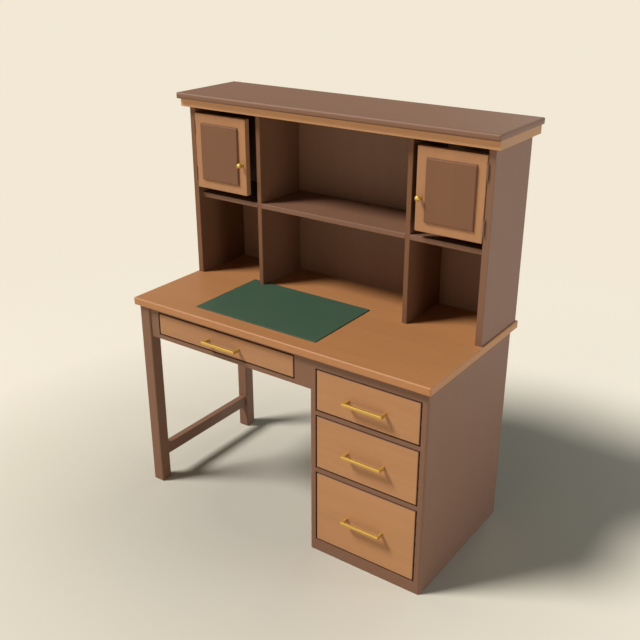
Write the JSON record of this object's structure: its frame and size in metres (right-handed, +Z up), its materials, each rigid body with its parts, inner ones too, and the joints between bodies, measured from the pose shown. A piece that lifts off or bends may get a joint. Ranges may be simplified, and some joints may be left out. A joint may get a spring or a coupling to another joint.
{
  "type": "writing desk with hutch",
  "caption": "Pedestal writing desk with inset dovetailed drawers and a shelf hutch with framed doors under a moulded cornice.",
  "frame": {"origin": "on the floor under the middle of the overall bounding box", "axes": "+X to the user's right, +Y to the back, +Z up; the drawers face -Y"},
  "size_m": [1.241, 0.624, 1.434],
  "materials": {
    "walnut_stain": "dark walnut stain under satin lacquer",
    "golden_oak": "golden oak stain under satin lacquer",
    "bare_birch": "bare sanded birch",
    "green_leather": "fine matt grain",
    "aged_brass": "brushed and lacquered",
    "bronzed_steel": "brown bronze, satin"
  },
  "bodies": {
    "desk": {"desktop": "golden_oak", "writing_surface": "green_leather", "front_leg": "walnut_stain", "rear_leg": "walnut_stain", "side_stretcher": "walnut_stain", "side_apron": "walnut_stain", "apron_left_stile": "walnut_stain", "apron_right_stile": "walnut_stain", "apron_top_rail": "walnut_stain", "apron_bottom_rail": "walnut_stain", "rear_apron": "walnut_stain", "pencil_runners": "bare_birch", "pedestal_left_side": "walnut_stain", "pedestal_right_side": "walnut_stain", "pedestal_back": "walnut_stain", "pedestal_bottom": "bare_birch", "pedestal_stiles": "walnut_stain", "pedestal_rails": "walnut_stain", "pedestal_runners": "bare_birch", "hutch_left_side": "walnut_stain", "hutch_right_side": "walnut_stain", "left_divider": "walnut_stain", "right_divider": "walnut_stain", "hutch_shelves": "walnut_stain", "hutch_back": "walnut_stain", "hutch_dowels": "bare_birch", "cornice_board": "walnut_stain", "cornice_moulding": "golden_oak", "hinge_plates": "bronzed_steel", "hinge_pins": "bronzed_steel"},
    "pencil_drawer": {"pencil_drawer_front": "golden_oak", "pencil_drawer_sides": "bare_birch", "pencil_drawer_back": "bare_birch", "pencil_drawer_bottom": "bare_birch", "pencil_drawer_pull": "aged_brass"},
    "upper_drawer": {"upper_drawer_front": "golden_oak", "upper_drawer_sides": "bare_birch", "upper_drawer_back": "bare_birch", "upper_drawer_bottom": "bare_birch", "upper_drawer_pull": "aged_brass"},
    "middle_drawer": {"middle_drawer_front": "golden_oak", "middle_drawer_sides": "bare_birch", "middle_drawer_back": "bare_birch", "middle_drawer_bottom": "bare_birch", "middle_drawer_pull": "aged_brass"},
    "lower_drawer": {"lower_drawer_front": "golden_oak", "lower_drawer_sides": "bare_birch", "lower_drawer_back": "bare_birch", "lower_drawer_bottom": "bare_birch", "lower_drawer_pull": "aged_brass"},
    "left_door": {"left_door_frame": "golden_oak", "left_door_panel": "walnut_stain", "left_door_knob": "aged_brass", "left_door_leaves": "bronzed_steel"},
    "right_door": {"right_door_frame": "golden_oak", "right_door_panel": "walnut_stain", "right_door_knob": "aged_brass", "right_door_leaves": "bronzed_steel"}
  },
  "joints": [
    {"name": "pencil_drawer_slide", "type": "slide", "parent": "desk", "child": "pencil_drawer", "axis": [0, -1, 0], "range_m": [0, 0.3]},
    {"name": "upper_drawer_slide", "type": "slide", "parent": "desk", "child": "upper_drawer", "axis": [0, -1, 0], "range_m": [0, 0.38]},
    {"name": "middle_drawer_slide", "type": "slide", "parent": "desk", "child": "middle_drawer", "axis": [0, -1, 0], "range_m": [0, 0.38]},
    {"name": "lower_drawer_slide", "type": "slide", "parent": "desk", "child": "lower_drawer", "axis": [0, -1, 0], "range_m": [0, 0.38]},
    {"name": "left_door_hinge", "type": "hinge", "parent": "desk", "child": "left_door", "pos_m": [-0.5715, 0.0315, 1.229], "axis": [0, 0, -1], "range_deg": [0, 110]},
    {"name": "right_door_hinge", "type": "hinge", "parent": "desk", "child": "right_door", "pos_m": [0.5715, 0.0315, 1.229], "axis": [0, 0, 1], "range_deg": [0, 110]}
  ]
}
